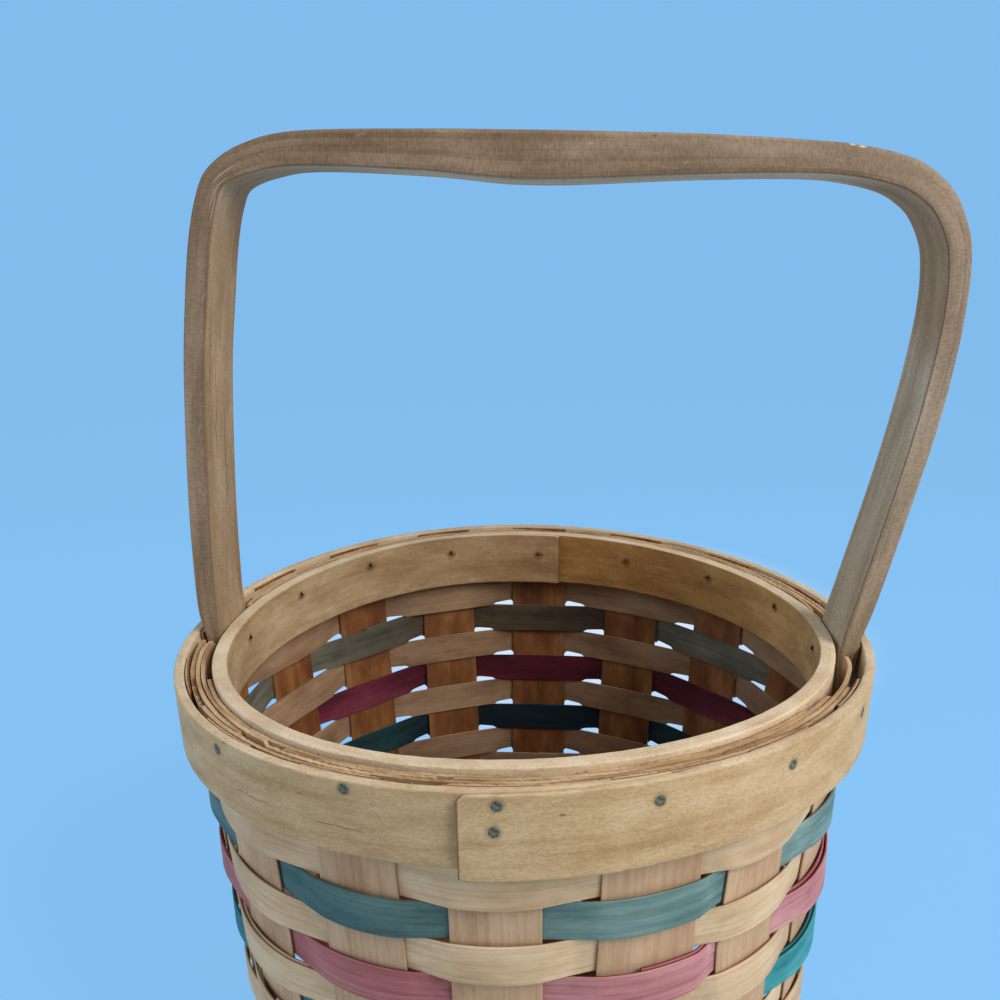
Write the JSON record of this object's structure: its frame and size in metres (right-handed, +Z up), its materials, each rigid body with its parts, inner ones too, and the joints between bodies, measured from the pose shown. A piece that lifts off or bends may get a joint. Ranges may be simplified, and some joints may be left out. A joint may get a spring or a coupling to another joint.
{
  "type": "splint basket",
  "caption": "Round tapered basket woven from flat wood splints, with lapped rim hoops and a fixed bentwood handle arching over the top.",
  "frame": {"origin": "middle of the overall width and depth at the underside of the base; the basket's own upright axis stands 9 mm from it towards -X, because the handle leans to +X", "axes": "+Z up, +X along the handle towards the leg that leans out further, -Y towards the front, where the outer hoop laps"},
  "size_m": [0.2575, 0.245, 0.336],
  "materials": {
    "stake_wood": "bare split wood, aged",
    "natural_weaver": "bare split wood, aged",
    "sage_weaver": "faded grey-green stain",
    "rose_weaver": "faded rose stain",
    "teal_weaver": "dark teal stain",
    "hoop_wood": "bare bent wood, worn smooth",
    "filler_wood": "bare split wood, aged",
    "handle_wood": "weathered grey-brown bent wood",
    "nail_steel": "dull, weathered"
  },
  "bodies": {
    "root": {"handle": "handle_wood", "outer_hoop": "hoop_wood", "inner_hoop": "hoop_wood", "rim_filler_front_inner": "filler_wood", "rim_filler_front_outer": "filler_wood", "rim_filler_back_inner": "filler_wood", "rim_filler_back_outer": "filler_wood", "stake_splint_lengthwise_1": "stake_wood", "stake_splint_lengthwise_2": "stake_wood", "stake_splint_lengthwise_3": "stake_wood", "stake_splint_lengthwise_4": "stake_wood", "stake_splint_crosswise_1": "stake_wood", "stake_splint_crosswise_2": "stake_wood", "stake_splint_crosswise_3": "stake_wood", "stake_splint_crosswise_4": "stake_wood", "weaver_01_natural": "natural_weaver", "weaver_02_sage": "sage_weaver", "weaver_03_natural": "natural_weaver", "weaver_04_rose": "rose_weaver", "weaver_05_natural": "natural_weaver", "weaver_06_teal": "teal_weaver", "weaver_07_natural": "natural_weaver", "weaver_08_natural": "natural_weaver", "weaver_09_natural": "natural_weaver", "weaver_10_natural": "natural_weaver", "weaver_11_natural": "natural_weaver", "rim_nail_01": "nail_steel", "rim_nail_02": "nail_steel", "rim_nail_03": "nail_steel", "rim_nail_04": "nail_steel", "rim_nail_05": "nail_steel", "rim_nail_06": "nail_steel", "rim_nail_07": "nail_steel", "rim_nail_08": "nail_steel", "rim_nail_09": "nail_steel", "rim_nail_10": "nail_steel", "rim_nail_11": "nail_steel", "rim_nail_12": "nail_steel", "rim_nail_13": "nail_steel", "rim_nail_14": "nail_steel", "rim_nail_15": "nail_steel", "rim_nail_16": "nail_steel", "lap_nail": "nail_steel"}
  },
  "joints": []
}
